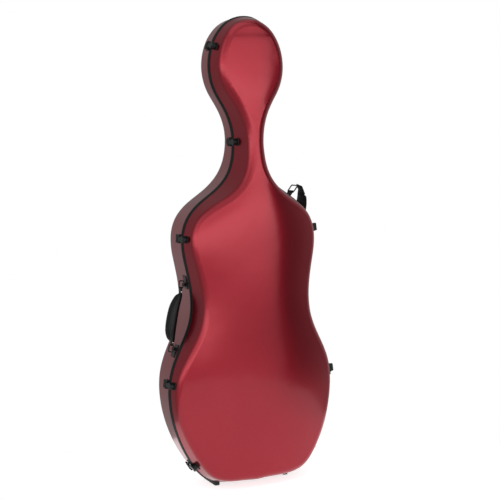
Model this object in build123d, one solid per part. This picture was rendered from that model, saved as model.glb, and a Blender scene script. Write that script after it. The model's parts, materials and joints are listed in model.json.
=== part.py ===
"""Full-size hard-shell cello case: two moulded shells hinged along the right side, five draw latches."""
import math
import os

from build123d import *

# ---------------------------------------------------------------- driving dimensions (mm)
# X runs to the right, Y runs back from the seam plane into the base, Z is up the length of the case.
CASE_HEIGHT = 1330.0
SHELL_WALL = 3.0
LINING_THICKNESS = 6.0
LINING_EDGE = 9.0              # the linings stop this far from the seam
FOOT_BOTTOM = -7.0             # the feet stand this far below the seam outline

# A half of the case: the side it lies on, the slope of its walls, and how its front or back face is
# crowned. ridge gives (height, depth, crown) along the middle of that face, where the face has dropped
# by crown times the distance squared at a distance to either side.
BASE = dict(side=1, draft=0.06, rim_radius=28.0, edge=0.0,
            ridge=[(-30, 92, 0.0003), (150, 118, 0.0003), (400, 136, 0.0003), (600, 136, 0.0003),
                   (760, 128, 0.0003), (860, 109, 0.0003), (960, 86, 0.0003), (1080, 80, 0.0003),
                   (1200, 84, 0.0003), (1360, 70, 0.0003)])
LID = dict(side=-1, draft=0.26, rim_radius=26.0, edge=0.8,
           ridge=[(-30, 62, 0.0008), (60, 84, 0.0009), (160, 95, 0.00098), (300, 100, 0.00102),
                  (450, 101, 0.00122), (600, 101, 0.00142), (710, 99, 0.00136), (790, 96, 0.0017),
                  (870, 89, 0.0028), (960, 82, 0.0042), (1040, 76, 0.0036), (1120, 71, 0.0018),
                  (1200, 66, 0.0011), (1270, 60, 0.0011), (1360, 50, 0.0011)])

# Right half of the seam outline, (half width, height), from the bottom centre to the top centre.
OUTLINE = [(0, 0), (55, 1.5), (105, 5), (150, 22), (194, 74), (231, 152), (252, 245), (246, 336),
           (218, 405), (186, 480), (180, 548), (192, 628), (203, 696), (190, 764), (150, 811),
           (96, 850), (58, 895), (43, 952), (45, 1014), (66, 1072), (94, 1120), (110, 1178),
           (105, 1234), (84, 1282), (48, 1317), (0, CASE_HEIGHT)]
OUTLINE_PIECES = 24
POINTS_PER_PIECE = 4
OVERLAP = 2.0
BODY_DEPTH = 170.0

# Seam profiles and seal
RIM_WEB = 1.5
RIM_PROUD = 1.2
RIM_LIP = 6.0
RIM_NOTCH = 3.6                # the lips are only this wide beside the hinges and latches
RIM_REACH = 8.0
SEAL_INSETS = (2.2, 4.6)
SEAL_HEIGHT = 0.5
FIT = 0.03                     # gap between a profile's lips and the shell wall
SEAT = 0.08                    # gap under the hardware on the outside of a wall
PAD_GAP = 0.3                  # gap between the padding and the lining behind it

# Lid hinges: the barrel centres, on the right of the seam
HINGE_SPOTS = dict(upper=(216.5, 725.7), lower=(266.0, 301.7))
HINGE_BARREL = 6.0
HINGE_LENGTH = 22.0
HINGE_MIDDLE = 3.8             # half length of the lid's knuckle
HINGE_PIN = 2.0
HINGE_LEAF = 2.6
RUNNING_FIT = 0.06

# Latches on the left of the seam: name, height, lever shape
LATCHES = [("head", 1247.6, "round"), ("neck", 980.4, "round"), ("shoulder", 714.8, "square"),
           ("hip", 305.4, "square"), ("corner", 63.3, "square")]
LATCH_PLATE = 2.2
LATCH_HALF_WIDTH = 12.5
LATCH_PLATE_END = 29.0
LEVER_PIVOT = (9.5, 6.2)      # distance behind the seam, height off the wall
CLAW_PIVOT = (15.2, 7.2)
LEVER_PIN = 1.5
CLAW_PIN = 1.4
CLAW_UNDERSIDE = 5.0
CLAW_CAP = 10.4
KEEPER_TOP = 4.6
KEEPER_CENTRE = -16.0

# Carrying handle on the left waist: swing axis and grip
HANDLE_LOW = Vector(-226, 30, 402)
HANDLE_HIGH = Vector(-188.5, 30, 588)
RING_WIRE = 1.6
HANDLE_GRIP = [(24, 7, 13, 18), (31, 12, 20, 27), (50, 16, 26, 33), (85, 17, 27, 35),
               (120, 15, 25, 32), (147, 9, 19, 26), (156, 5, 12, 18)]

# Shoulder strap on the right: centre line and width direction, station by station
STRAP_STATIONS = [((192, 46, 846), (0, 1, 0)), ((204, 52, 822), (-0.05, 1, 0)),
                  ((209, 66, 790), (-0.2, 1, 0)), ((208, 92, 748), (-0.5, 1, 0)),
                  ((201, 125, 700), (-1, 0.9, 0)), ((190, 148, 640), (-1, 0.35, 0)),
                  ((182, 156, 560), (-1, 0.1, 0)), ((180, 158, 480), (-1, 0, 0)),
                  ((184, 158, 400), (-1, 0, 0)), ((195, 156, 320), (-1, 0.1, 0)),
                  ((212, 150, 240), (-1, 0.3, 0)), ((230, 136, 170), (-1, 0.8, 0)),
                  ((241, 108, 112), (-0.5, 1, 0)), ((240, 80, 74), (-0.2, 1, 0)),
                  ((231, 62, 50), (0, 1, 0))]

FEET = dict(x=110.0, width=16.0, start=3.0, end=90.0)


# ---------------------------------------------------------------- outline and shell surfaces
LOOP = [(x, 0, z) for x, z in OUTLINE] + [(-x, 0, z) for x, z in OUTLINE[-2:0:-1]]
MASTER = Spline(*LOOP, periodic=True)


def outline_wire(inset, y):
    """The seam outline moved inwards by inset, as smooth pieces in the plane at depth y."""
    spots = []
    tangents = []
    count = OUTLINE_PIECES * POINTS_PER_PIECE
    for step in range(count + 1):
        along = MASTER.tangent_at(step / count % 1)
        spots.append(MASTER.position_at(step / count % 1) + Vector(-along.Z * inset, y, along.X * inset))
        tangents.append(along)
    pieces = []
    for first in range(0, count, POINTS_PER_PIECE):
        last = first + POINTS_PER_PIECE
        pieces.append(Spline(*spots[first:last + 1], tangents=[tangents[first], tangents[last]]))
    return Wire(pieces)


def walls(half, inset, start, end):
    """A solid inside a half's sloping walls, between two distances from the seam."""
    side, draft = half["side"], half["draft"]
    near = outline_wire(inset + draft * start, side * start)
    far = outline_wire(inset + draft * end, side * end)
    return Solid.make_loft([near, far], ruled=True)


def crowned_block(half, inset):
    """Everything on the seam side of a half's front or back surface."""
    side = half["side"]
    rows = []
    for step in range(9):
        x = -290 + 72.5 * step
        rows.append([Vector(x, side * (depth - inset - crown * x * x), z)
                     for z, depth, crown in half["ridge"]])
    surface = Face.make_surface_from_array_of_points(rows)
    return extrude(surface, amount=400, dir=(0, -side, 0))


def half_body(half, inset, rounded=True):
    """One half of the case as a full body, its walls inset from the outer skin."""
    body = walls(half, inset, -OVERLAP, BODY_DEPTH) & crowned_block(half, inset)
    if not rounded:
        return body
    crown_face = body.faces().sort_by(Axis.Y)[-1 if half["side"] > 0 else 0]
    return fillet(crown_face.edges(), half["rim_radius"] - inset)


def box_between(low, high):
    """A box from its two extreme corners."""
    size = [b - a for a, b in zip(low, high)]
    middle = [(a + b) / 2 for a, b in zip(low, high)]
    return Pos(*middle) * Box(*size)


def beyond(half, distance):
    """The space of one half that is further than distance from the seam."""
    ends = sorted((half["side"] * distance, half["side"] * 300))
    return box_between((-400, ends[0], -100), (400, ends[1], 1500))


# ---------------------------------------------------------------- wall frames
def wall_frame(side, height, y=0.0):
    """A frame on the seam outline: x back, y along the outline, z out of the wall."""
    low, high = 0.0, 0.5
    for _ in range(40):
        middle = (low + high) / 2
        if MASTER.position_at(middle).Z < height:
            low = middle
        else:
            high = middle
    spot = MASTER.position_at(low)
    along = MASTER.tangent_at(low)
    return Plane(origin=(side * spot.X, y, spot.Z), x_dir=(0, 1, 0),
                 z_dir=(side * along.Z, 0, -along.X))


def rod(start, end, radius):
    """A round bar between two points."""
    axis = Vector(end) - Vector(start)
    return Plane(origin=start, z_dir=axis) * Cylinder(radius, axis.length, align=(Align.CENTER,
                                                                                  Align.CENTER, Align.MIN))


def ring(plane, length, height, wire, corner):
    """A closed wire ring: a rounded rectangle in the plane, from the plane's x axis upwards."""
    path = plane * (Pos(0, height / 2) * RectangleRounded(length, height, corner)).wire()
    section = Plane(origin=path.position_at(0), z_dir=path.tangent_at(0)) * Circle(wire)
    return sweep(section, path=path)


PARTS = {}


def add(name, shape):
    """Keep a node."""
    PARTS[name] = shape


# ---------------------------------------------------------------- shells, linings, seam profiles
BODY = {}
for title, half in (("base", BASE), ("lid", LID)):
    outer = half_body(half, 0)
    inner = half_body(half, SHELL_WALL)
    cavity = half_body(half, SHELL_WALL + LINING_THICKNESS)
    BODY[title] = dict(outer=half_body(half, -SEAT, rounded=False),
                       cavity=half_body(half, SHELL_WALL + LINING_THICKNESS + PAD_GAP))
    add(f"{title}_shell", (outer - inner) & beyond(half, half["edge"] + RIM_WEB))
    add(f"{title}_lining", (inner - cavity) & beyond(half, LINING_EDGE))

    face = half["edge"]
    lip = walls(half, -RIM_PROUD, face, face + RIM_LIP) - walls(half, -FIT, face - 1, face + 9)
    web = walls(half, -RIM_PROUD / 2, face, face + RIM_WEB) - walls(half, RIM_REACH - 1, face - 1, face + 9)
    tongue = (walls(half, SHELL_WALL + FIT, face, face + RIM_REACH)
              - walls(half, RIM_REACH, face - 1, face + 9))
    add(f"{title}_rim", lip + web + tongue)

NOTCH_SPOTS = [(-1, height) for title, height, style in LATCHES] + [(1, z) for x, z in HINGE_SPOTS.values()]
for side, height in NOTCH_SPOTS:
    frame = wall_frame(side, height)
    PARTS["base_rim"] -= frame * box_between((RIM_NOTCH, -13, -2.9), (12, 13, 6))
    PARTS["lid_rim"] -= frame * box_between((-12, -13, -2.9), (-RIM_NOTCH - LID["edge"], 13, 6))

seal = walls(BASE, SEAL_INSETS[0], -SEAL_HEIGHT, 0) - walls(BASE, SEAL_INSETS[1], -1, 1)
add("seal_gasket", seal)


def skin_plate(title, region, thickness):
    """A plate of the given thickness that follows the outside of a half's wall inside a region."""
    half = BASE if title == "base" else LID
    return (region & walls(half, -thickness, -OVERLAP, BODY_DEPTH)) - BODY[title]["outer"]


# ---------------------------------------------------------------- lid hinges
hinge_low = Vector(HINGE_SPOTS["lower"][0], 0, HINGE_SPOTS["lower"][1])
hinge_high = Vector(HINGE_SPOTS["upper"][0], 0, HINGE_SPOTS["upper"][1])
HINGE_AXIS = (hinge_high - hinge_low).normalized()

for title, (x, z) in HINGE_SPOTS.items():
    frame = Plane(origin=(x, 0, z), x_dir=(HINGE_AXIS.Z, 0, -HINGE_AXIS.X), z_dir=HINGE_AXIS)
    half_length = HINGE_LENGTH / 2
    barrel = fillet(Cylinder(HINGE_BARREL, HINGE_LENGTH).edges(), 2.4)
    middle = box_between((-9, -9, -HINGE_MIDDLE - 0.2), (9, 9, HINGE_MIDDLE + 0.2))
    clear = Cylinder(HINGE_BARREL + 0.4, HINGE_LENGTH + 4)
    for owner, sign in (("base", 1), ("lid", -1)):
        reach = sorted((sign * 0.7, sign * 5.8))
        arm = box_between((-11.5, reach[0], -half_length), (0, reach[1], half_length))
        block_ends = sorted((sign * 5.2, sign * 9.5))
        block = box_between((-22, block_ends[0], -half_length), (-6.5, block_ends[1], half_length))
        plate_ends = sorted((sign * 5.2, sign * 30))
        region = box_between((-26, plate_ends[0], -half_length - 1), (-6, plate_ends[1], half_length + 1))
        plate = skin_plate(owner, frame * region, HINGE_LEAF)
        if owner == "base":
            knuckle = barrel - middle - Cylinder(HINGE_PIN, 40)
            arm = arm - (clear & middle)
        else:
            inner_part = box_between((-9, -9, -HINGE_MIDDLE), (9, 9, HINGE_MIDDLE))
            knuckle = (barrel & inner_part) - Cylinder(HINGE_PIN + RUNNING_FIT, 40)
            arm = arm - (clear - inner_part)
        arm = arm - Cylinder(HINGE_PIN + 1, 40)
        body = frame * (knuckle + arm + block)
        add(f"hinge_{title}_{owner}_leaf", (body + plate) - BODY[owner]["outer"])
    add(f"hinge_{title}_pin", frame * Cylinder(HINGE_PIN, HINGE_LENGTH - 1.2))


# ---------------------------------------------------------------- draw latches
def side_profile(sketch, from_y, to_y):
    """Extrude a sketch drawn in (behind the seam, off the wall) across the latch."""
    plane = Plane(origin=(0, from_y, 0), x_dir=(1, 0, 0), z_dir=(0, -1, 0))
    return extrude(plane * sketch, amount=to_y - from_y, dir=(0, 1, 0))


def link(first, second, first_radius, second_radius):
    """A flat link outline: two round ends and the tangent hull between them."""
    return make_hull((Pos(*first) * Circle(first_radius)).edges()
                     + (Pos(*second) * Circle(second_radius)).edges())


def latch_lever(style):
    """The lever of a latch, in the latch's wall frame."""
    cheek = link(LEVER_PIVOT, CLAW_PIVOT, 3.4, 3.0) + Pos(18.2, 5.4) * Rectangle(8, 3.6)
    shape = side_profile(cheek, 6.7, 9.3) + side_profile(cheek, -9.3, -6.7)
    if style == "round":
        disc = Pos(18, 0, 3.6) * Cylinder(11.4, 3.8, align=(Align.CENTER, Align.CENTER, Align.MIN))
        disc = fillet(disc.edges().group_by(Axis.Z)[-1], 1.4)
        shape += disc & box_between((18.8, -12, 0), (60, 12, 20))
    else:
        pad = Pos(23.3, 0, 3.6) * Box(9, 23, 2.8, align=(Align.CENTER, Align.CENTER, Align.MIN))
        lip = Pos(26.5, 0, 3.6) * Box(2.6, 23, 4.0, align=(Align.CENTER, Align.CENTER, Align.MIN))
        pad = fillet((pad + lip).edges().filter_by(Axis.Y), 0.5)
        shape += pad
    for spot, radius in ((LEVER_PIVOT, LEVER_PIN), (CLAW_PIVOT, CLAW_PIN)):
        shape -= rod((spot[0], -20, spot[1]), (spot[0], 20, spot[1]), radius + RUNNING_FIT)
    return shape


def latch_claw():
    """The flat claw that reaches over the keeper, with its own trunnions."""
    bar = box_between((KEEPER_CENTRE, -6.2, CLAW_UNDERSIDE), (CLAW_PIVOT[0], 6.2, 8.0))
    eye = side_profile(Pos(*CLAW_PIVOT) * Circle(2.8), -6.2, 6.2)
    cap = Pos(KEEPER_CENTRE, 0, CLAW_UNDERSIDE) * Cylinder(CLAW_CAP, 3.4, align=(Align.CENTER, Align.CENTER,
                                                                               Align.MIN))
    cap = fillet(cap.edges().group_by(Axis.Z)[-1], 1.2)
    trunnion = rod((CLAW_PIVOT[0], -9.2, CLAW_PIVOT[1]), (CLAW_PIVOT[0], 9.2, CLAW_PIVOT[1]), CLAW_PIN)
    return bar + eye + cap + trunnion


pivot_pins = []
for title, height, style in LATCHES:
    frame = wall_frame(-1, height)
    edge = LATCH_HALF_WIDTH
    region = frame * box_between((5.0, -edge, -20), (LATCH_PLATE_END, edge, 20))
    plate = skin_plate("base", region, LATCH_PLATE)
    for low in (9.6, -12.2):
        lug = link(LEVER_PIVOT, (LEVER_PIVOT[0], -3), 3.8, 4.2)
        ear = side_profile(lug, low, low + 2.6)
        ear -= rod((LEVER_PIVOT[0], -20, LEVER_PIVOT[1]), (LEVER_PIVOT[0], 20, LEVER_PIVOT[1]), LEVER_PIN)
        plate += (frame * ear) - BODY["base"]["outer"]
        inner_end, outer_end = sorted((math.copysign(6.8, low), math.copysign(12.2, low)))
        pivot_pins.append(frame * rod((LEVER_PIVOT[0], inner_end, LEVER_PIVOT[1]),
                                      (LEVER_PIVOT[0], outer_end, LEVER_PIVOT[1]), LEVER_PIN))
    add(f"latch_{title}_plate", plate)
    add(f"latch_{title}_lever", frame * latch_lever(style))
    add(f"latch_{title}_claw", frame * latch_claw())

    boss = Pos(KEEPER_CENTRE, 0, -11) * Cylinder(7.5, 11 + KEEPER_TOP, align=(Align.CENTER, Align.CENTER,
                                                                             Align.MIN))
    boss = fillet(boss.edges().group_by(Axis.Z)[-1], 0.8)
    flange_region = frame * box_between((-27, -10.2, -20), (-7, 10.2, 20))
    flange = skin_plate("lid", flange_region, 1.8)
    add(f"latch_{title}_keeper", flange + ((frame * boss) - BODY["lid"]["outer"]))
add("latch_pivot_pins", Compound(children=pivot_pins))


# ---------------------------------------------------------------- carrying handle
HANDLE_AXIS = (HANDLE_HIGH - HANDLE_LOW).normalized()
HANDLE_SPAN = (HANDLE_HIGH - HANDLE_LOW).length
handle_out = Vector(-HANDLE_AXIS.Z, 0, HANDLE_AXIS.X)


def handle_plane(distance, out=0.0):
    """A plane across the swing axis: x away from the wall, y back."""
    spot = HANDLE_LOW + HANDLE_AXIS * distance + handle_out * out
    return Plane(origin=spot, x_dir=handle_out, z_dir=HANDLE_AXIS)


sections = []
for distance, out, thick, wide in HANDLE_GRIP:
    sections.append((handle_plane(distance, out) * Ellipse(thick / 2, wide / 2)).wire())
add("handle_grip", Solid.make_loft(sections))

handle_rings = []
handle_rivets = []
for title, spot, grip_end, station in (("lower", 0.0, 24, HANDLE_GRIP[0]),
                                       ("upper", HANDLE_SPAN - 6.0, 156, HANDLE_GRIP[-1])):
    inward = 1 if title == "lower" else -1
    centre = HANDLE_LOW + HANDLE_AXIS * spot
    ring_plane = Plane(origin=centre, x_dir=HANDLE_AXIS, z_dir=handle_out.cross(HANDLE_AXIS) * -1)
    if ring_plane.y_dir.dot(handle_out) < 0:
        ring_plane = Plane(origin=centre, x_dir=-HANDLE_AXIS, z_dir=ring_plane.z_dir)
    handle_rings.append(ring(ring_plane, 20, 13, RING_WIRE, 3.2))

    sleeve = handle_plane(spot) * (Cylinder(4.2, 9) - Cylinder(RING_WIRE + RUNNING_FIT, 20))
    web_low = handle_plane(spot) * box_between((-24, -4.2, -4.5), (0, 4.2, 4.5))
    hole = handle_plane(spot) * Cylinder(RING_WIRE + 0.5, 40)
    wall_side = wall_frame(-1, centre.Z + 6 * inward * -1, 30)
    region = wall_side * box_between((-13, -19, -20), (13, 19, 20))
    plate = skin_plate("base", region, 2.0)
    web = (web_low - hole) - BODY["base"]["outer"]
    add(f"handle_anchor_{title}", plate + web + sleeve)

    eye = handle_plane(spot + 10 * inward, 6.5).origin
    reach = handle_plane(grip_end, station[1]).origin
    direction = (reach - eye).normalized()
    length = (reach - eye).length
    tab_plane = Plane(origin=eye, x_dir=direction, z_dir=direction.cross(Vector(0, 1, 0)))
    tab = tab_plane * box_between((0, -6, -2.5), (length + 4, 6, 2.5))
    tab += rod(eye - handle_out * 2.3, eye + handle_out * 2.3, 3.4)
    tab -= ring(ring_plane, 20, 13, RING_WIRE + 0.1, 3.2)
    past = handle_plane(grip_end) * box_between((-40, -40, 0 if inward > 0 else -60),
                                                (40, 40, 60 if inward > 0 else 0))
    tab -= past
    rivet_spot = eye + direction * (length * 0.62)
    rivet = rod(rivet_spot - Vector(0, 7, 0), rivet_spot + Vector(0, 7, 0), 1.8)
    add(f"handle_link_{title}", tab - rivet)
    handle_rivets.append(rivet)
add("handle_rings", Compound(children=handle_rings))
add("handle_rivets", Compound(children=handle_rivets))


# ---------------------------------------------------------------- shoulder strap
def strap_section(index, width, thickness):
    """A rectangle across the strap at one of its stations."""
    spot, across = STRAP_STATIONS[index]
    ahead = Vector(STRAP_STATIONS[min(index + 1, len(STRAP_STATIONS) - 1)][0])
    behind = Vector(STRAP_STATIONS[max(index - 1, 0)][0])
    plane = Plane(origin=spot, x_dir=across, z_dir=ahead - behind)
    return (plane * Rectangle(width, thickness)).wire()


def strap_run(first, last, width, thickness):
    """A length of strap between two stations."""
    return Solid.make_loft([strap_section(i, width, thickness) for i in range(first, last + 1)],
                           ruled=True)


strap_clearance = []
strap_anchors = []
strap_rings = []
strap_tabs = []
for height, y, station in ((812, 44, 0), (74, 60, -1)):
    frame = wall_frame(1, height, y)
    region = frame * box_between((-19, -11, -20), (19, 11, 20))
    strap_anchors.append(skin_plate("base", region, 2.2))
    ring_frame = Plane(origin=frame.origin + frame.z_dir * 22, x_dir=(0, 1, 0), z_dir=-frame.y_dir)
    if ring_frame.y_dir.dot(frame.z_dir) < 0:
        ring_frame = Plane(origin=ring_frame.origin, x_dir=(0, -1, 0), z_dir=-frame.y_dir)
    strap_rings.append(ring(ring_frame, 38, 22, 1.8, 4))
    strap_clearance.append(ring(ring_frame, 38, 22, 1.9, 4))
    tab = frame * box_between((-14, -1.6, 0), (14, 1.6, 22)) + frame * (
        Pos(0, 0, 22) * Rot(0, 90, 0) * Cylinder(3.6, 28))
    tab -= strap_clearance[-1]
    tab -= skin_plate("base", region, 2.2)
    strap_tabs.append(tab - BODY["base"]["outer"])
add("strap_anchors", Compound(children=strap_anchors))
add("strap_rings", Compound(children=strap_rings))
add("strap_tabs", Compound(children=strap_tabs))
add("strap_pad", strap_run(1, 7, 44, 9))
add("strap_webbing_upper", strap_run(0, 1, 30, 3) - strap_clearance[0])
add("strap_webbing_lower", strap_run(7, 14, 30, 3) - strap_clearance[1])


# ---------------------------------------------------------------- feet
feet = []
for side in (-1, 1):
    pad = box_between((side * FEET["x"] - FEET["width"] / 2, FEET["start"], FOOT_BOTTOM),
                      (side * FEET["x"] + FEET["width"] / 2, FEET["end"], 18))
    pad = fillet(pad.edges().filter_by(Axis.Z), 5)
    pad = fillet(pad.faces().sort_by(Axis.Z)[0].edges(), 2)
    feet.append(pad - BODY["base"]["outer"] - PARTS["base_rim"])
add("feet", Compound(children=feet))


# ---------------------------------------------------------------- padding inside the base
def back_pad(low, high, depth):
    """A pad that stands depth proud of the base lining's back, between two (x, z) corners."""
    block = box_between((low[0], 20, low[1]), (high[0], 160, high[1]))
    block = fillet(block.edges().filter_by(Axis.Y), 10)
    thick = SHELL_WALL + LINING_THICKNESS + depth
    return (block & BODY["base"]["cavity"]) - crowned_block(BASE, thick)


add("lower_back_pad", back_pad((-120, 190), (120, 250), 20))
add("upper_back_pad", back_pad((-100, 690), (100, 745), 20))
add("head_pad", back_pad((-55, 1160), (55, 1225), 14))

end_block = box_between((-75, 12, 0), (75, 96, 46)) & BODY["base"]["cavity"]
end_block -= Pos(0, 52, 20) * Cylinder(14, 60, align=(Align.CENTER, Align.CENTER, Align.MIN))
add("end_block_pad", end_block)

waist_pads = []
for side in (-1, 1):
    xs = sorted((side * 143, side * 200))
    pad = box_between((xs[0], 14, 470), (xs[1], 96, 575))
    pad = fillet(pad.edges().filter_by(Axis.X), 10)
    waist_pads.append(pad & BODY["base"]["cavity"])
add("waist_pads", Compound(children=waist_pads))

cradle = box_between((-60, 16, 925), (60, 120, 975)) & BODY["base"]["cavity"]
cradle -= Pos(0, 20, 950) * Cylinder(19, 80)
add("neck_cradle", cradle)
strap_arch = box_between((-31, 11.5, 934), (31, 14.5, 966))
add("neck_strap", strap_arch & BODY["base"]["cavity"])


# ---------------------------------------------------------------- bow holders inside the lid
bow_blocks = []
bow_posts = []
tip_sleeves = []
for side, title in ((-1, "left"), (1, "right")):
    block = box_between((side * 150 - 22, -130, 150), (side * 150 + 22, -52, 215))
    block = fillet(block.edges().filter_by(Axis.Y), 8)
    block = block & BODY["lid"]["cavity"]
    block -= box_between((side * 150 - 7, -70, 140), (side * 150 + 7, -40, 225))
    bow_blocks.append(block)
    post_spot = (side * 136, 200)
    post = rod((post_spot[0], -58, post_spot[1]), (post_spot[0], -42, post_spot[1]), 3)
    head = rod((post_spot[0], -42, post_spot[1]), (post_spot[0], -40, post_spot[1]), 5)
    bow_posts.append(post + head)
    spinner = box_between((post_spot[0] - 5.5, -48, post_spot[1] - 38), (post_spot[0] + 5.5, -42.6,
                                                                        post_spot[1] + 7))
    spinner = fillet(spinner.edges().filter_by(Axis.Y), 5)
    spinner -= rod((post_spot[0], -60, post_spot[1]), (post_spot[0], -30, post_spot[1]), 3 + RUNNING_FIT)
    add(f"bow_spinner_{title}", spinner)
    tip = box_between((side * 84 - 15, -130, 745), (side * 84 + 15, -56, 800))
    tip = fillet(tip.edges().filter_by(Axis.Y), 7) & BODY["lid"]["cavity"]
    tip -= box_between((side * 84 - 8, -66, 735), (side * 84 + 8, -59, 790))
    tip_sleeves.append(tip)
for index, block in enumerate(bow_blocks):
    bow_blocks[index] = block - bow_posts[index]
add("bow_blocks", Compound(children=bow_blocks))
add("bow_posts", Compound(children=bow_posts))
add("bow_tip_sleeves", Compound(children=tip_sleeves))


# ---------------------------------------------------------------- origin and files
box = Compound(children=[Compound(shape.wrapped) for shape in PARTS.values()]).bounding_box()
ORIGIN = Vector((box.min.X + box.max.X) / 2, (box.min.Y + box.max.Y) / 2, box.min.Z)

os.makedirs("parts", exist_ok=True)
for name, shape in PARTS.items():
    export_step(Pos(*(-ORIGIN)) * shape, f"parts/{name}.step")
print("origin at", ORIGIN, "size", box.size)
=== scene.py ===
"""Looks of the hard-shell cello case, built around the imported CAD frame. Metres, +Z up, lid towards -Y."""
import json
import math

import bmesh
import bpy
from mathutils import Matrix, Vector


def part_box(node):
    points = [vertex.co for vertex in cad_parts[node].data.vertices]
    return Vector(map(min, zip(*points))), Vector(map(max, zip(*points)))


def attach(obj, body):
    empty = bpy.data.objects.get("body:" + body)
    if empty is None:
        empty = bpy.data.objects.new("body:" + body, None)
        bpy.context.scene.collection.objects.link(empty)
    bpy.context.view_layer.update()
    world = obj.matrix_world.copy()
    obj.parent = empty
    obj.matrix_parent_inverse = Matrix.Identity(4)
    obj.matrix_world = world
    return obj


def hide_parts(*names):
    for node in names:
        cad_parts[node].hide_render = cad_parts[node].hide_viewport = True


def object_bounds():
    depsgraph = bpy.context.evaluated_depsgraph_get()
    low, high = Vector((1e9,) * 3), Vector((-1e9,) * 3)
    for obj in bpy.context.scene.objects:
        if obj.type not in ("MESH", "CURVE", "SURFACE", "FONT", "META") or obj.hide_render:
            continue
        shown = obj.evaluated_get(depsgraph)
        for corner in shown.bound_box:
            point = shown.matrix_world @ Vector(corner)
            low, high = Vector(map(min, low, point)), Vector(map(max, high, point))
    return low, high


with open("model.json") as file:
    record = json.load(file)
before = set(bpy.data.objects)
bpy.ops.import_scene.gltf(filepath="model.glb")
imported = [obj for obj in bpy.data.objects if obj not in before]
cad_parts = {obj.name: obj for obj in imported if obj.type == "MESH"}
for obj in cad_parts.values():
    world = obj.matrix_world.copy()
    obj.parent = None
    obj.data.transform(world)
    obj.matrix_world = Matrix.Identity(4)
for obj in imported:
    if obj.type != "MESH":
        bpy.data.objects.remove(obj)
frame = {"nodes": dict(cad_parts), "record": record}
CAD_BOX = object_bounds()
LOW, HIGH = Vector(CAD_BOX[0]), Vector(CAD_BOX[1])
HEIGHT = HIGH.z - LOW.z
MM = 0.001

# ---------------------------------------------------------------- camera
# Metres and degrees; yaw is towards the right, pitch is up
CAMERA_SPOT = (-1.482, -3.200, 1.0737)
CAMERA_YAW = 25.08
CAMERA_PITCH = -6.46
CAMERA_ROLL = -1.117
CAMERA_LENS = 88.53
CAMERA_SENSOR = 36
CAMERA_REACH = 60


def make_camera():
    """The camera, at the left front of the case and above its middle."""
    data = bpy.data.cameras.new("camera")
    data.lens = CAMERA_LENS
    data.sensor_width = CAMERA_SENSOR
    data.clip_end = CAMERA_REACH
    camera = bpy.data.objects.new("camera", data)
    turn = Matrix.Rotation(-math.radians(CAMERA_YAW), 4, "Z")
    tilt = Matrix.Rotation(math.radians(90 + CAMERA_PITCH), 4, "X")
    roll = Matrix.Rotation(math.radians(CAMERA_ROLL), 4, "Z")
    camera.matrix_world = Matrix.Translation(CAMERA_SPOT) @ turn @ tilt @ roll
    bpy.context.scene.collection.objects.link(camera)
    bpy.context.scene.camera = camera


# ---------------------------------------------------------------- materials
class Shader:
    """A node material with a few short helpers."""

    def __init__(self, name):
        self.material = bpy.data.materials.new(name)
        self.material.use_nodes = True
        self.tree = self.material.node_tree
        self.surface = self.tree.nodes["Principled BSDF"]
        self.place = self.node("ShaderNodeTexCoord").outputs["Object"]

    def node(self, kind, **settings):
        made = self.tree.nodes.new(kind)
        for key, value in settings.items():
            setattr(made, key, value)
        return made

    def link(self, source, target):
        self.tree.links.new(source, target)

    def set(self, **values):
        """Set the surface's own sockets, with underscores for the spaces in their names."""
        for key, value in values.items():
            self.surface.inputs[key.replace("_", " ")].default_value = value

    def noise(self, scale, detail=2.0, roughness=0.5, stretch=None):
        made = self.node("ShaderNodeTexNoise")
        made.inputs["Scale"].default_value = scale
        made.inputs["Detail"].default_value = detail
        made.inputs["Roughness"].default_value = roughness
        place = self.place
        if stretch:
            mapping = self.node("ShaderNodeMapping")
            mapping.inputs["Scale"].default_value = stretch
            self.link(place, mapping.inputs["Vector"])
            place = mapping.outputs["Vector"]
        self.link(place, made.inputs["Vector"])
        return made.outputs["Fac"]

    def cells(self, scale, feature="F1"):
        made = self.node("ShaderNodeTexVoronoi", feature=feature)
        made.inputs["Scale"].default_value = scale
        self.link(self.place, made.inputs["Vector"])
        return made.outputs["Distance"]

    def wave(self, scale, axis, distortion=0.0):
        made = self.node("ShaderNodeTexWave", bands_direction=axis)
        made.inputs["Scale"].default_value = scale
        made.inputs["Distortion"].default_value = distortion
        self.link(self.place, made.inputs["Vector"])
        return made.outputs["Fac"]

    def ramp(self, source, stops):
        """A colour ramp over (position, colour) stops."""
        made = self.node("ShaderNodeValToRGB")
        elements = made.color_ramp.elements
        for index, (position, colour) in enumerate(stops):
            element = elements[index] if index < 2 else elements.new(position)
            element.position = position
            element.color = (*colour, 1)
        self.link(source, made.inputs["Fac"])
        return made.outputs["Color"]

    def span(self, source, low, high):
        """Map a 0 to 1 value onto low to high."""
        made = self.node("ShaderNodeMapRange")
        made.inputs["To Min"].default_value = low
        made.inputs["To Max"].default_value = high
        self.link(source, made.inputs["Value"])
        return made.outputs["Result"]

    def math(self, operation, first, second):
        made = self.node("ShaderNodeMath", operation=operation)
        for socket, value in zip(made.inputs, (first, second)):
            if isinstance(value, float):
                socket.default_value = value
            else:
                self.link(value, socket)
        return made.outputs["Value"]

    def colour(self, source):
        self.link(source, self.surface.inputs["Base Color"])

    def rough(self, source):
        self.link(source, self.surface.inputs["Roughness"])

    def bump(self, height, distance, strength=1.0):
        made = self.node("ShaderNodeBump")
        made.inputs["Distance"].default_value = distance
        made.inputs["Strength"].default_value = strength
        self.link(height, made.inputs["Height"])
        self.link(made.outputs["Normal"], self.surface.inputs["Normal"])


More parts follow.
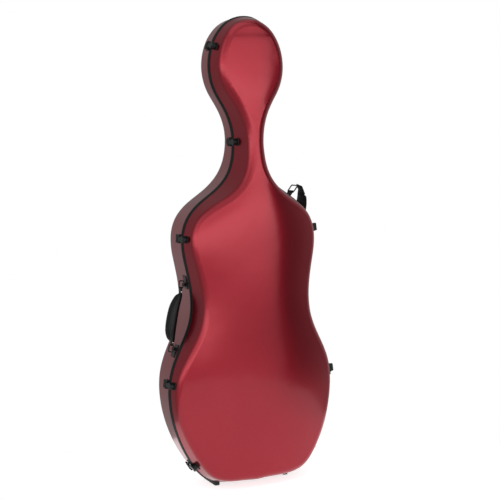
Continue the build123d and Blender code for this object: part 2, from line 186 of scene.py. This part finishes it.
def red_lacquer():
    """Satin metallic red with a fine grain."""
    shader = Shader("red_lacquer")
    grain = shader.noise(900, 3, 0.6)
    drift = shader.noise(3, 2, 0.5)
    mixed = shader.math("ADD", shader.math("MULTIPLY", grain, 0.6), shader.math("MULTIPLY", drift, 0.4))
    shader.colour(shader.ramp(mixed, [(0.3, (0.22, 0.0075, 0.0155)), (0.7, (0.33, 0.0135, 0.027))]))
    shader.rough(shader.span(grain, 0.26, 0.33))
    shader.bump(grain, 0.00012, 0.5)
    shader.set(Metallic=0.95, Coat_Weight=0.5, Coat_Roughness=0.12)
    return shader.material


def coated_metal(name, tone, rough):
    """Black coated steel or moulded hardware."""
    shader = Shader(name)
    peel = shader.noise(1400, 2, 0.5)
    shader.colour(shader.ramp(peel, [(0.35, (tone, tone, tone * 1.08)), (0.7, (tone * 1.8,) * 3)]))
    shader.rough(shader.span(peel, rough, rough + 0.12))
    shader.bump(peel, 0.00006, 0.6)
    shader.set(Specular_IOR_Level=0.24)
    return shader.material


def rim_black():
    """Black extruded profile with faint lengthwise drawing marks."""
    shader = Shader("rim_black")
    marks = shader.noise(160, 3, 0.6, stretch=(1, 14, 1))
    shader.colour(shader.ramp(marks, [(0.3, (0.002, 0.002, 0.0025)), (0.75, (0.006, 0.0065, 0.007))]))
    shader.rough(shader.span(marks, 0.34, 0.5))
    shader.bump(marks, 0.00005, 0.5)
    shader.set(Specular_IOR_Level=0.22)
    return shader.material


def bare_metal(name, tone, rough):
    """Bright steel or nickel with fine scratches."""
    shader = Shader(name)
    lines = shader.noise(700, 4, 0.6, stretch=(1, 1, 0.08))
    shader.colour(shader.ramp(lines, [(0.3, (tone * 0.85,) * 3), (0.7, (tone,) * 3)]))
    shader.rough(shader.span(lines, rough, rough + 0.12))
    shader.set(Metallic=1.0)
    return shader.material


def rubber(name):
    """Dull black rubber with a faint bloom."""
    shader = Shader(name)
    bloom = shader.noise(120, 4, 0.6)
    shader.colour(shader.ramp(bloom, [(0.3, (0.004, 0.004, 0.004)), (0.8, (0.012, 0.012, 0.012))]))
    shader.rough(shader.span(bloom, 0.7, 0.85))
    shader.bump(shader.noise(900, 2, 0.5), 0.00008, 0.5)
    return shader.material


def plush(name, dark, light):
    """Short-pile plush: brushed patches over fine fibres."""
    shader = Shader(name)
    brushed = shader.noise(26, 3, 0.55)
    fibres = shader.noise(1500, 2, 0.7)
    mixed = shader.math("ADD", shader.math("MULTIPLY", brushed, 0.55), shader.math("MULTIPLY", fibres, 0.45))
    shader.colour(shader.ramp(mixed, [(0.32, dark), (0.7, light)]))
    shader.bump(mixed, 0.0008, 0.6)
    shader.set(Roughness=0.95, Sheen_Weight=0.35, Sheen_Roughness=0.45)
    return shader.material


def webbing(name):
    """Black woven webbing: a twill of fine ribs."""
    shader = Shader(name)
    across = shader.wave(420, "Z")
    along = shader.wave(420, "X")
    weave = shader.math("MULTIPLY", across, along)
    shader.colour(shader.ramp(weave, [(0.1, (0.0015, 0.0015, 0.002)), (0.8, (0.010, 0.010, 0.011))]))
    shader.bump(weave, 0.0004, 0.6)
    shader.set(Roughness=0.75, Specular_IOR_Level=0.3, Sheen_Weight=0.08, Sheen_Roughness=0.4)
    return shader.material


def leatherette():
    """Black grained leatherette."""
    shader = Shader("leatherette")
    pebbles = shader.cells(900, "SMOOTH_F1")
    creases = shader.noise(260, 4, 0.6)
    mixed = shader.math("ADD", shader.math("MULTIPLY", pebbles, 0.7), shader.math("MULTIPLY", creases, 0.3))
    shader.colour(shader.ramp(mixed, [(0.15, (0.0015, 0.0015, 0.0018)), (0.75, (0.005, 0.005, 0.0055))]))
    shader.rough(shader.span(creases, 0.26, 0.40))
    shader.bump(mixed, 0.00025, 0.5)
    shader.set(Specular_IOR_Level=0.2)
    return shader.material


def thread():
    """Black bonded sewing thread, twisted."""
    shader = Shader("thread")
    twist = shader.wave(900, "Z", 2.0)
    shader.colour(shader.ramp(twist, [(0.2, (0.02, 0.02, 0.02)), (0.8, (0.06, 0.06, 0.06))]))
    shader.set(Roughness=0.55)
    return shader.material


def make_materials():
    """One material for each of the record's slots, and the thread."""
    return {
        "red_shell": red_lacquer(),
        "rim_profile": rim_black(),
        "seal_rubber": rubber("seal_rubber"),
        "lining_plush": plush("lining_plush", (0.012, 0.012, 0.014), (0.04, 0.04, 0.044)),
        "pad_velvet": plush("pad_velvet", (0.018, 0.018, 0.02), (0.055, 0.055, 0.06)),
        "black_webbing": webbing("black_webbing"),
        "strap_padding": webbing("strap_padding"),
        "black_hardware": coated_metal("black_hardware", 0.0035, 0.26),
        "black_lever": coated_metal("black_lever", 0.0045, 0.20),
        "steel_pin": bare_metal("steel_pin", 0.55, 0.28),
        "bright_rivet": bare_metal("bright_rivet", 0.8, 0.15),
        "grip_leather": leatherette(),
        "foot_rubber": rubber("foot_rubber"),
        "holder_plastic": plush("holder_plastic", (0.012, 0.012, 0.014), (0.035, 0.035, 0.038)),
        "spinner_plastic": coated_metal("spinner_plastic", 0.012, 0.4),
        "thread": thread(),
    }


def finish_frame_nodes(materials):
    """Give each carried-over CAD node its slot's material."""
    for part in frame["record"]["subparts"]:
        node = frame["nodes"][part["node"]]
        node.data.materials.clear()
        node.data.materials.append(materials[part["material_slot"]])


# ---------------------------------------------------------------- mesh helpers
FEET_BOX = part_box("feet")
SHELL_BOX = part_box("base_shell")
SEAM_TO_SHELL = 1.5
FOOT_DROP = 7.0
SHIFT = Vector(((FEET_BOX[0][0] + FEET_BOX[1][0]) / 2, SHELL_BOX[0][1] - SEAM_TO_SHELL * MM,
                LOW.z + FOOT_DROP * MM))


def at(x, y, z):
    """A point given in the case's own millimetres: from the seam outline's bottom centre."""
    return SHIFT + Vector((x, y, z)) * MM


def new_object(name, points, faces, material):
    mesh = bpy.data.meshes.new(name)
    mesh.from_pydata([tuple(point) for point in points], [], faces)
    mesh.validate()
    mesh.materials.append(material)
    for face in mesh.polygons:
        face.use_smooth = True
    made = bpy.data.objects.new(name, mesh)
    bpy.context.scene.collection.objects.link(made)
    return made


def skin(rings):
    """Faces of a tube through rings of equal length, closed at both ends."""
    count = len(rings[0])
    points = [point for ring in rings for point in ring]
    faces = []
    for row in range(len(rings) - 1):
        for column in range(count):
            following = (column + 1) % count
            faces.append((row * count + column, row * count + following,
                          (row + 1) * count + following, (row + 1) * count + column))
    faces.append(tuple(reversed(range(count))))
    last = (len(rings) - 1) * count
    faces.append(tuple(range(last, last + count)))
    return points, faces


def smooth_between(rows, steps):
    """Points on a Catmull-Rom curve through rows of numbers, steps to each span."""
    made = []
    for index in range(len(rows) - 1):
        before = rows[max(index - 1, 0)]
        first, second = rows[index], rows[index + 1]
        after = rows[min(index + 2, len(rows) - 1)]
        for step in range(steps):
            t = step / steps
            made.append([0.5 * (2 * b + (c - a) * t + (2 * a - 5 * b + 4 * c - d) * t * t
                                + (3 * b - a - 3 * c + d) * t ** 3)
                         for a, b, c, d in zip(before, first, second, after)])
    made.append(list(rows[-1]))
    return made


STITCH_CORNERS = 6
STITCH_RINGS = [(-0.5, 0.35), (-0.3, 1.0), (0.3, 1.0), (0.5, 0.35)]    # along its length, size
STITCH_FLATTENING = 0.8


def stitch_run(name, spots, normals, pitch, length, radius, material):
    """A row of thread stitches along a path, lying on the surface that the normals point out of."""
    points, faces = [], []
    travelled, due = 0.0, pitch / 2
    for index in range(len(spots) - 1):
        first, second = spots[index], spots[index + 1]
        span = (second - first).length
        while span > 1e-9 and travelled + span >= due:
            share = (due - travelled) / span
            middle = first.lerp(second, share)
            ahead = (second - first).normalized()
            up = normals[index].lerp(normals[index + 1], share).normalized()
            side = ahead.cross(up).normalized()
            start = len(points)
            rings = []
            for offset, size in STITCH_RINGS:
                ring = []
                for corner in range(STITCH_CORNERS):
                    angle = corner * math.tau / STITCH_CORNERS
                    around = side * math.cos(angle) + up * (math.sin(angle) * STITCH_FLATTENING)
                    ring.append(middle + ahead * (offset * length) + around * (radius * size))
                rings.append(ring)
            stitch_points, stitch_faces = skin(rings)
            points += stitch_points
            faces += [tuple(start + index for index in face) for face in stitch_faces]
            due += pitch
        travelled += span
    return new_object(name, points, faces, material)


# ---------------------------------------------------------------- carrying handle
HANDLE_LOW = at(-226, 30, 402)
HANDLE_HIGH = at(-188.5, 30, 588)
# Grip sections: distance up the swing axis, offset away from the case, thickness and width
GRIP_SECTIONS = [(20, 7.5, 14, 20), (29, 12.5, 22.5, 31), (50, 17, 29, 38), (85, 18, 30, 39.5),
                 (120, 16, 27.5, 36), (147, 9.5, 20, 27.5), (156, 5, 11, 17)]
GRIP_GROOVES = [0.35, 1.2, math.pi - 1.2, math.pi - 0.35, math.pi + 0.8, math.tau - 0.8]
GRIP_GROOVE_DEPTH = 0.075
GRIP_GROOVE_WIDTH = 0.13
GRIP_SEAMS = [0.35, math.pi - 0.35]
GRIP_CORNERS = 96
GRIP_STEPS = 12
GRIP_END_SHRINK = 0.80
GRIP_END_LENGTH = 1.2
GRIP_STITCH = (3.6 * MM, 2.5 * MM, 0.45 * MM)    # pitch, length, radius


def make_handle(materials):
    """The padded grip: a moulded sleeve with lengthwise channels, sewn along its two side seams."""
    along = (HANDLE_HIGH - HANDLE_LOW).normalized()
    out = Vector((-along.z, 0, along.x))
    back = Vector((0, 1, 0))
    rows = smooth_between(GRIP_SECTIONS, GRIP_STEPS)
    rings = []
    seam_paths = {seam: [] for seam in GRIP_SEAMS}
    for distance, offset, thick, wide in rows:
        centre = HANDLE_LOW + along * (distance * MM) + out * (offset * MM)
        ring = []
        for step in range(GRIP_CORNERS):
            angle = step * math.tau / GRIP_CORNERS
            near = min(abs((angle - groove + math.pi) % math.tau - math.pi) for groove in GRIP_GROOVES)
            swell = 1.0 - GRIP_GROOVE_DEPTH * math.exp(-(near / GRIP_GROOVE_WIDTH) ** 2)
            ring.append(centre + out * (math.sin(angle) * thick / 2 * MM * swell)
                        + back * (math.cos(angle) * wide / 2 * MM * swell))
        rings.append(ring)
        for angle, path in seam_paths.items():
            keep = 1.0 - GRIP_GROOVE_DEPTH
            normal = out * (math.sin(angle) / thick) + back * (math.cos(angle) / wide)
            spot = (centre + out * (math.sin(angle) * thick / 2 * MM * keep)
                    + back * (math.cos(angle) * wide / 2 * MM * keep))
            path.append((spot, normal.normalized()))
    ends = []
    for ring, way in ((rings[0], -1), (rings[-1], 1)):
        centre = sum(ring, Vector()) / GRIP_CORNERS
        ends.append([centre.lerp(point, GRIP_END_SHRINK) + along * (GRIP_END_LENGTH * MM * way)
                     for point in ring])
    rings = [ends[0], *rings, ends[1]]
    grip = new_object("grip_padding", *skin(rings), materials["grip_leather"])
    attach(grip, "handle")
    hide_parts("handle_grip")
    for number, path in enumerate(seam_paths.values()):
        stitches = stitch_run(f"grip_thread_{number}", [spot for spot, _ in path], [up for _, up in path],
                              *GRIP_STITCH, materials["thread"])
        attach(stitches, "handle")


# ---------------------------------------------------------------- shoulder strap
# Centre line and width direction of the strap, from its top ring to its bottom ring
STRAP_STATIONS = [((192, 46, 846), (0, 1, 0)), ((204, 52, 822), (-0.05, 1, 0)),
                  ((209, 66, 790), (-0.2, 1, 0)), ((208, 92, 748), (-0.5, 1, 0)),
                  ((201, 125, 700), (-1, 0.9, 0)), ((190, 148, 640), (-1, 0.35, 0)),
                  ((182, 156, 560), (-1, 0.1, 0)), ((180, 158, 480), (-1, 0, 0)),
                  ((184, 158, 400), (-1, 0, 0)), ((195, 156, 320), (-1, 0.1, 0)),
                  ((212, 150, 240), (-1, 0.3, 0)), ((230, 136, 170), (-1, 0.8, 0)),
                  ((241, 108, 112), (-0.5, 1, 0)), ((240, 80, 74), (-0.2, 1, 0)),
                  ((231, 62, 50), (0, 1, 0))]
PAD_WIDTH, PAD_THICKNESS, PAD_HEM = 44.0, 9.0, 4.5
WEBBING_WIDTH, WEBBING_THICKNESS = 30.0, 3.0
WEBBING_BEVEL = 0.8
STRAP_STITCH = (4.2 * MM, 3.0 * MM, 0.4 * MM)
PAD_FIRST, PAD_LAST = 1, 7        # the stations between which the strap is padded
PAD_TAPER_ROWS = 6


def strap_frames(first, last, steps):
    """(centre, across, outward) along a run of the strap between two stations."""
    rows = [(*spot, *across) for spot, across in STRAP_STATIONS[first:last + 1]]
    fine = smooth_between(rows, steps)
    frames = []
    for index, row in enumerate(fine):
        ahead = Vector(fine[min(index + 1, len(fine) - 1)][:3]) - Vector(fine[max(index - 1, 0)][:3])
        across = Vector(row[3:]).normalized()
        outward = across.cross(ahead).normalized()
        across = ahead.cross(outward).normalized()
        frames.append((at(*row[:3]), across, outward))
    return frames


def pad_profile(width, thickness, hem, end):
    """Half-thickness of the padding across its width: full in the middle, thin at the sewn hem."""
    profile = []
    for step in range(41):
        spot = -1 + step / 20
        edge = (1 - abs(spot)) * width / 2
        if edge < hem:
            height = 0.22 + 0.10 * math.sqrt(max(edge, 0) / hem)
        else:
            swell = min((edge - hem) / (width / 2 - hem), 1.0)
            height = 0.28 + 0.72 * (1 - (1 - swell) ** 2.6)
        profile.append((spot * width / 2, height * thickness / 2 * end))
    return profile


def make_strap(materials):
    """The shoulder strap: sewn padding with a bound hem, and woven webbing at both ends."""
    frames = strap_frames(PAD_FIRST, PAD_LAST, 16)
    rings, hem_paths = [], {-1: [], 1: []}
    total = len(frames) - 1
    for index, (centre, across, outward) in enumerate(frames):
        from_end = min(index, total - index)
        end = min(1.0, 0.42 + 0.58 * math.sqrt(from_end / PAD_TAPER_ROWS))
        puff = 1.0 - 0.05 * (1 - abs(math.sin(index * math.pi / 8))) ** 3
        profile = pad_profile(PAD_WIDTH, PAD_THICKNESS, PAD_HEM, end * puff)
        ring = [centre + across * (x * MM) + outward * (h * MM) for x, h in profile]
        ring += [centre + across * (x * MM) - outward * (h * MM) for x, h in reversed(profile)]
        rings.append(ring)
        for side, path in hem_paths.items():
            spot = centre + across * (side * (PAD_WIDTH / 2 - PAD_HEM) * MM) + outward * (1.5 * end * MM)
            path.append((spot, outward))
    pad = new_object("strap_padding", *skin(rings), materials["strap_padding"])
    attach(pad, "base")
    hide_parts("strap_pad")
    for side, path in hem_paths.items():
        title = "left" if side < 0 else "right"
        stitches = stitch_run(f"strap_thread_{title}", [spot for spot, _ in path], [up for _, up in path],
                              *STRAP_STITCH, materials["thread"])
        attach(stitches, "base")
    half, thick = WEBBING_WIDTH / 2, WEBBING_THICKNESS / 2
    flat = half - WEBBING_BEVEL
    section = [(-half, -0.5), (-flat, -0.9), (flat, -0.9), (half, -0.5),
               (half, 0.5), (flat, 0.9), (-flat, 0.9), (-half, 0.5)]
    for title, first, last in (("upper", 0, PAD_FIRST), ("lower", PAD_LAST, len(STRAP_STATIONS) - 1)):
        rings = [[centre + across * (x * MM) + outward * (h * thick * MM) for x, h in section]
                 for centre, across, outward in strap_frames(first, last, 12)]
        band = new_object(f"strap_band_{title}", *skin(rings), materials["black_webbing"])
        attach(band, "base")
        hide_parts(f"strap_webbing_{title}")


# ---------------------------------------------------------------- padding inside
def soft_copy(node, voxel, rounds):
    """A remeshed and smoothed copy of a CAD solid, whose edges have gone soft."""
    source = frame["nodes"][node]
    made = bpy.data.objects.new("soft_copy", source.data.copy())
    bpy.context.scene.collection.objects.link(made)
    remesh = made.modifiers.new("remesh", "REMESH")
    remesh.mode = "VOXEL"
    remesh.voxel_size = voxel
    smooth = made.modifiers.new("smooth", "SMOOTH")
    smooth.factor = 0.5
    smooth.iterations = rounds
    bpy.context.view_layer.update()
    shaped = made.evaluated_get(bpy.context.evaluated_depsgraph_get())
    mesh = bpy.data.meshes.new_from_object(shaped)
    bpy.data.objects.remove(made)
    return mesh


def split_islands(mesh):
    """The vertex groups of a mesh's separate solids, as lists of indices."""
    links = {vertex.index: [] for vertex in mesh.vertices}
    for edge in mesh.edges:
        first, second = edge.vertices
        links[first].append(second)
        links[second].append(first)
    left = set(links)
    islands = []
    while left:
        seed = min(left)
        left.discard(seed)
        island, queue = [seed], [seed]
        while queue:
            for other in links[queue.pop()]:
                if other in left:
                    left.discard(other)
                    island.append(other)
                    queue.append(other)
        islands.append(island)
    return islands


PAD_PULL = 0.0012


def make_pad(node, body, slot, materials, facing, crown, voxel, rounds):
    """Velvet-covered foam: soft edges, and a face that is crowned and pulls in along its sides.

    facing is +1 or -1, the way along Y that the face looks; crown is how far its edges fall back.
    """
    mesh = soft_copy(node, voxel, rounds)
    for island in split_islands(mesh):
        spots = [mesh.vertices[index].co for index in island]
        low = Vector(min(spot[axis] for spot in spots) for axis in range(3))
        high = Vector(max(spot[axis] for spot in spots) for axis in range(3))
        middle, half = (low + high) / 2, (high - low) / 2
        face = high.y if facing > 0 else low.y
        for index in island:
            spot = mesh.vertices[index].co
            across = (spot.x - middle.x) / half.x
            up = (spot.z - middle.z) / half.z
            nearness = max(0.0, 1 - abs(spot.y - face) / (2 * half.y)) ** 2
            fall = 1 - (1 - across ** 4) * (1 - up ** 4)
            pull = PAD_PULL * nearness
            spot.y -= facing * crown * fall * nearness
            spot.x -= math.copysign(pull * (1 - up * up), across)
            spot.z -= math.copysign(pull * (1 - across * across), up)
    mesh.materials.clear()
    mesh.materials.append(materials[slot])
    for polygon in mesh.polygons:
        polygon.use_smooth = True
    made = bpy.data.objects.new(f"{node}_velvet", mesh)
    bpy.context.scene.collection.objects.link(made)
    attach(made, body)
    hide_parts(node)


NECK_STITCH = (3.6 * MM, 2.6 * MM, 0.4 * MM)


def make_neck_strap(materials):
    """A short band across the neck cradle, with a turned hem and a row of stitches at each end."""
    low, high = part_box("neck_strap")
    low, high = Vector(low), Vector(high)
    middle, half = (low + high) / 2, (high - low) / 2
    rings = []
    for step in range(33):
        share = -1 + step / 16
        hem = 1.0 if abs(share) > 0.78 else 0.72
        centre = Vector((middle.x + share * half.x * 0.995,
                         middle.y - 0.0008 * (1 - share * share), middle.z))
        thick = half.y * hem
        ring = []
        for z, y in ((-1, -0.4), (-0.96, -0.8), (-0.5, -1), (0.5, -1), (0.96, -0.8), (1, -0.4),
                     (1, 0.4), (0.96, 0.8), (0.5, 1), (-0.5, 1), (-0.96, 0.8), (-1, 0.4)):
            ring.append(centre + Vector((0, y * thick, z * half.z * 0.99)))
        rings.append(ring)
    band = new_object("neck_band", *skin(rings), materials["black_webbing"])
    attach(band, "base")
    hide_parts("neck_strap")
    for side in (-1, 1):
        line = [Vector((middle.x + side * half.x * 0.84, low.y + 0.0001, middle.z + up * half.z * 0.9))
                for up in (-1, 0, 1)]
        title = "left" if side < 0 else "right"
        stitches = stitch_run(f"neck_thread_{title}", line, [Vector((0, -1, 0))] * len(line),
                              *NECK_STITCH, materials["thread"])
        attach(stitches, "base")


# Node, and how far its face's edges fall back. Pads in the base face the lid, and bow holders face the base
BASE_PADS = [("lower_back_pad", 0.006), ("upper_back_pad", 0.006), ("head_pad", 0.004),
             ("end_block_pad", 0.003), ("waist_pads", 0.004), ("neck_cradle", 0.002)]
BOW_HOLDERS = [("bow_blocks", 0.0015), ("bow_tip_sleeves", 0.001)]


def make_padding(materials):
    """Every padded piece inside the case."""
    for node, crown in BASE_PADS:
        make_pad(node, "base", "pad_velvet", materials, -1, crown, voxel=0.0035, rounds=7)
    for node, crown in BOW_HOLDERS:
        make_pad(node, "lid", "holder_plastic", materials, 1, crown, voxel=0.0022, rounds=4)
    make_neck_strap(materials)


# ---------------------------------------------------------------- stage
# The studio round the case, as (angle in degrees, grey). Azimuth 0 is in front of the lid, + to the right.
WALLS = [(-180, 0.38), (-120, 0.42), (-85, 0.42), (-50, 0.22), (25, 0.22), (38, 0.20), (45, 0.06),
         (58, 0.18), (90, 0.50), (180, 0.30)]
SOFT_BOX_ACROSS = [(-105, 0.0), (-80, 0.6), (-58, 1.0), (38, 1.0), (44, 0.0)]
SOFT_BOX_UP = [(-40, 0.1), (-12, 0.14), (-8, 0.2), (0, 1.0), (5, 1.0), (10, 0.58), (22, 0.30), (45, 0.28),
               (90, 0.25)]
SOFT_BOX_STRENGTH = 2.35
FLOOR_RADIUS = 1.0
FLOOR_AHEAD = -0.62
FLOOR_GLOW = 0.74


class World(Shader):
    """The studio's background shader, white where the camera sees it."""

    def __init__(self):
        world = bpy.data.worlds.new("studio")
        bpy.context.scene.world = world
        world.use_nodes = True
        self.tree = world.node_tree
        self.tree.nodes.clear()
        self.place = self.node("ShaderNodeTexCoord").outputs["Generated"]

    def profile(self, angle, stops, reach):
        """Grey by angle, for angles from -reach to reach degrees."""
        made = self.node("ShaderNodeMapRange")
        made.inputs["From Min"].default_value = -math.radians(reach)
        made.inputs["From Max"].default_value = math.radians(reach)
        self.link(angle, made.inputs["Value"])
        return self.ramp(made.outputs["Result"],
                         [((degrees + reach) / (2 * reach), (grey,) * 3) for degrees, grey in stops])

    def background(self, strength):
        made = self.node("ShaderNodeBackground")
        made.inputs["Color"].default_value = (1, 1, 1, 1)
        if isinstance(strength, float):
            made.inputs["Strength"].default_value = strength
        else:
            self.link(strength, made.inputs["Strength"])
        return made.outputs[0]


def make_studio():
    """What the lacquer reflects: grey walls, a large soft box in front and a dark strip beside it."""
    world = World()
    split = world.node("ShaderNodeSeparateXYZ")
    world.link(world.place, split.inputs["Vector"])
    ahead = world.math("MULTIPLY", split.outputs["Y"], -1.0)
    azimuth = world.math("ARCTAN2", split.outputs["X"], ahead)
    elevation = world.math("ARCSINE", split.outputs["Z"], 0.0)
    walls = world.profile(azimuth, WALLS, 180)
    box = world.math("MULTIPLY", world.profile(azimuth, SOFT_BOX_ACROSS, 180),
                     world.profile(elevation, SOFT_BOX_UP, 90))
    light = world.math("ADD", walls, world.math("MULTIPLY", box, SOFT_BOX_STRENGTH))
    mix = world.node("ShaderNodeMixShader")
    world.link(world.node("ShaderNodeLightPath").outputs["Is Camera Ray"], mix.inputs["Fac"])
    world.link(world.background(light), mix.inputs[1])
    world.link(world.background(1.0), mix.inputs[2])
    world.link(mix.outputs[0], world.node("ShaderNodeOutputWorld").inputs["Surface"])


def make_floor():
    """A round pale floor, bright enough to fade into the white behind it."""
    mesh = bpy.data.meshes.new("floor")
    shape = bmesh.new()
    bmesh.ops.create_circle(shape, cap_ends=True, segments=96, radius=FLOOR_RADIUS)
    shape.to_mesh(mesh)
    shape.free()
    floor = bpy.data.objects.new("floor", mesh)
    floor.location.y = FLOOR_AHEAD
    bpy.context.scene.collection.objects.link(floor)
    shader = Shader("floor")
    shader.colour(shader.ramp(shader.noise(2, 2, 0.5), [(0.3, (0.80,) * 3), (0.7, (0.82,) * 3)]))
    shader.set(Roughness=1.0, Emission_Color=(1, 1, 1, 1), Emission_Strength=FLOOR_GLOW)
    mesh.materials.append(shader.material)


def make_light(name, azimuth, elevation, distance, width, height, power):
    """A soft box that faces the middle of the case. Azimuth 0 is in front of the lid, + to the right."""
    data = bpy.data.lights.new(name, "AREA")
    data.shape = "RECTANGLE"
    data.size = width
    data.size_y = height
    data.energy = power
    light = bpy.data.objects.new(name, data)
    around, up = math.radians(azimuth), math.radians(elevation)
    middle = Vector((0, 0, HEIGHT / 2))
    offset = Vector((math.sin(around) * math.cos(up), -math.cos(around) * math.cos(up), math.sin(up)))
    light.location = middle + offset * distance
    light.rotation_euler = (-offset).to_track_quat("-Z", "Y").to_euler()
    bpy.context.scene.collection.objects.link(light)


bpy.context.scene.view_settings.view_transform = "Standard"
make_camera()
make_studio()
make_floor()
make_light("left_wash", -70, 25, 3.4, 1.6, 2.6, 4)
make_light("top", 0, 80, 3.2, 3.0, 3.0, 12)
MATERIALS = make_materials()
finish_frame_nodes(MATERIALS)
make_handle(MATERIALS)
make_strap(MATERIALS)
make_padding(MATERIALS)
